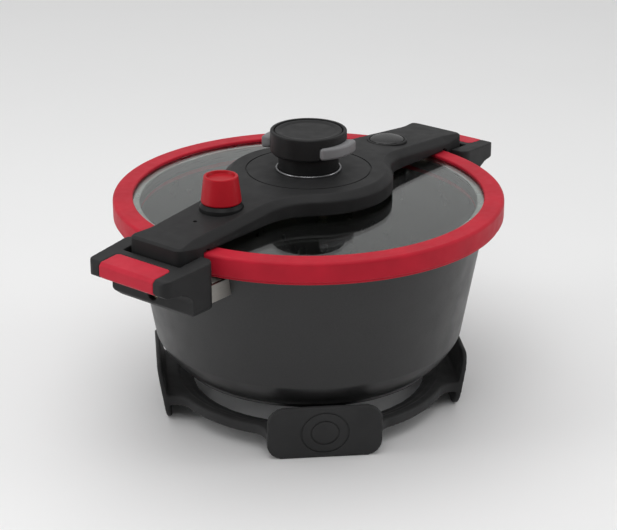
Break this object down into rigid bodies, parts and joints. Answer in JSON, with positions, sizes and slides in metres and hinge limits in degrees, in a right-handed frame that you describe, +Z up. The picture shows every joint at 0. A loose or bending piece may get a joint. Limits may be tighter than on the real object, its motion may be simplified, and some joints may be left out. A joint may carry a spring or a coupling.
{
  "type": "low-pressure stovetop cooker",
  "caption": "Wide cast pot on a four-tab trivet, closed by a red-rimmed glass lid with a latching cross bar, a turning knob, a pressure valve and a safety valve.",
  "frame": {"origin": "on the surface the trivet stands on, under the centre of the pot", "axes": "+X along the lid's cross bar towards the safety-valve arm and the right handle, +Z up"},
  "size_m": [0.34, 0.254, 0.1862],
  "materials": {
    "trivet_silicone": "matte moulded black silicone",
    "pot_coating": "satin graphite non-stick coating on cast aluminium",
    "base_steel": "turned stainless induction disc",
    "bracket_steel": "brushed stainless strap",
    "handle_plastic": "matte black heat-proof plastic, fine spark texture",
    "red_silicone": "soft red silicone, slightly satin",
    "valve_red": "satin red heat-proof plastic",
    "glass": "clear tempered glass with a faint green edge",
    "seal_band_steel": "satin stainless ring",
    "knob_plastic": "satin black plastic",
    "wing_plastic": "mid-grey plastic",
    "chrome_trim": "polished ring",
    "machined_steel": "machined stainless",
    "gasket_silicone": "dark red silicone",
    "o_ring_rubber": "black rubber",
    "fastener_steel": "zinc-bright steel"
  },
  "bodies": {
    "trivet": {"trivet": "trivet_silicone"},
    "pot": {"pot_body": "pot_coating", "pot_base_disc": "base_steel", "left_handle_bracket": "bracket_steel", "right_handle_bracket": "bracket_steel", "left_handle": "handle_plastic", "right_handle": "handle_plastic", "left_grip_insert": "red_silicone", "right_grip_insert": "red_silicone", "handle_screws": "fastener_steel", "bracket_rivets": "fastener_steel"},
    "lid": {"lid_glass": "glass", "lid_seal": "red_silicone", "seal_band": "seal_band_steel", "bar_housing": "handle_plastic", "bar_base": "handle_plastic", "bar_screws": "fastener_steel", "hub_gaskets": "gasket_silicone", "clamp_bolt": "machined_steel", "clamp_washer": "machined_steel", "clamp_nut": "machined_steel", "knob_trim_ring": "chrome_trim", "valve_seat": "machined_steel", "valve_collar": "knob_plastic", "safety_seat": "machined_steel", "safety_bezel": "knob_plastic", "valve_grommets": "gasket_silicone"},
    "knob": {"knob_body": "knob_plastic", "knob_cap": "knob_plastic", "knob_wings": "wing_plastic", "knob_spindle": "machined_steel", "knob_screw": "fastener_steel", "cam_disc": "machined_steel"},
    "left_latch": {"left_latch": "bracket_steel", "left_latch_pin": "machined_steel"},
    "right_latch": {"right_latch": "bracket_steel", "right_latch_pin": "machined_steel"},
    "pressure_valve": {"valve_cap": "valve_red", "valve_weight": "machined_steel"},
    "safety_valve": {"safety_button": "knob_plastic", "safety_plunger": "machined_steel", "safety_o_ring": "o_ring_rubber"}
  },
  "joints": [
    {"name": "pot_lift", "type": "slide", "parent": "trivet", "child": "pot", "axis": [0, 0, 1], "range_m": [0, 0.1]},
    {"name": "lid_lift", "type": "slide", "parent": "pot", "child": "lid", "axis": [0, 0, 1], "range_m": [0, 0.16]},
    {"name": "knob_turn", "type": "hinge", "parent": "lid", "child": "knob", "pos_m": [0, 0, 0.16], "axis": [0, 0, -1], "range_deg": [0, 75]},
    {"name": "left_latch_slide", "type": "slide", "parent": "lid", "child": "left_latch", "axis": [-1, 0, 0], "range_m": [0, 0.008]},
    {"name": "right_latch_slide", "type": "slide", "parent": "lid", "child": "right_latch", "axis": [1, 0, 0], "range_m": [0, 0.008]},
    {"name": "valve_lift", "type": "slide", "parent": "lid", "child": "pressure_valve", "axis": [0, 0, 1], "range_m": [0, 0.004]},
    {"name": "safety_lift", "type": "slide", "parent": "lid", "child": "safety_valve", "axis": [0, 0, 1], "range_m": [0, 0.0026]}
  ],
  "couplings": [
    {"joint": "left_latch_slide", "follows": "knob_turn", "m_per_rad": 0.00611},
    {"joint": "right_latch_slide", "follows": "knob_turn", "m_per_rad": 0.00611}
  ]
}
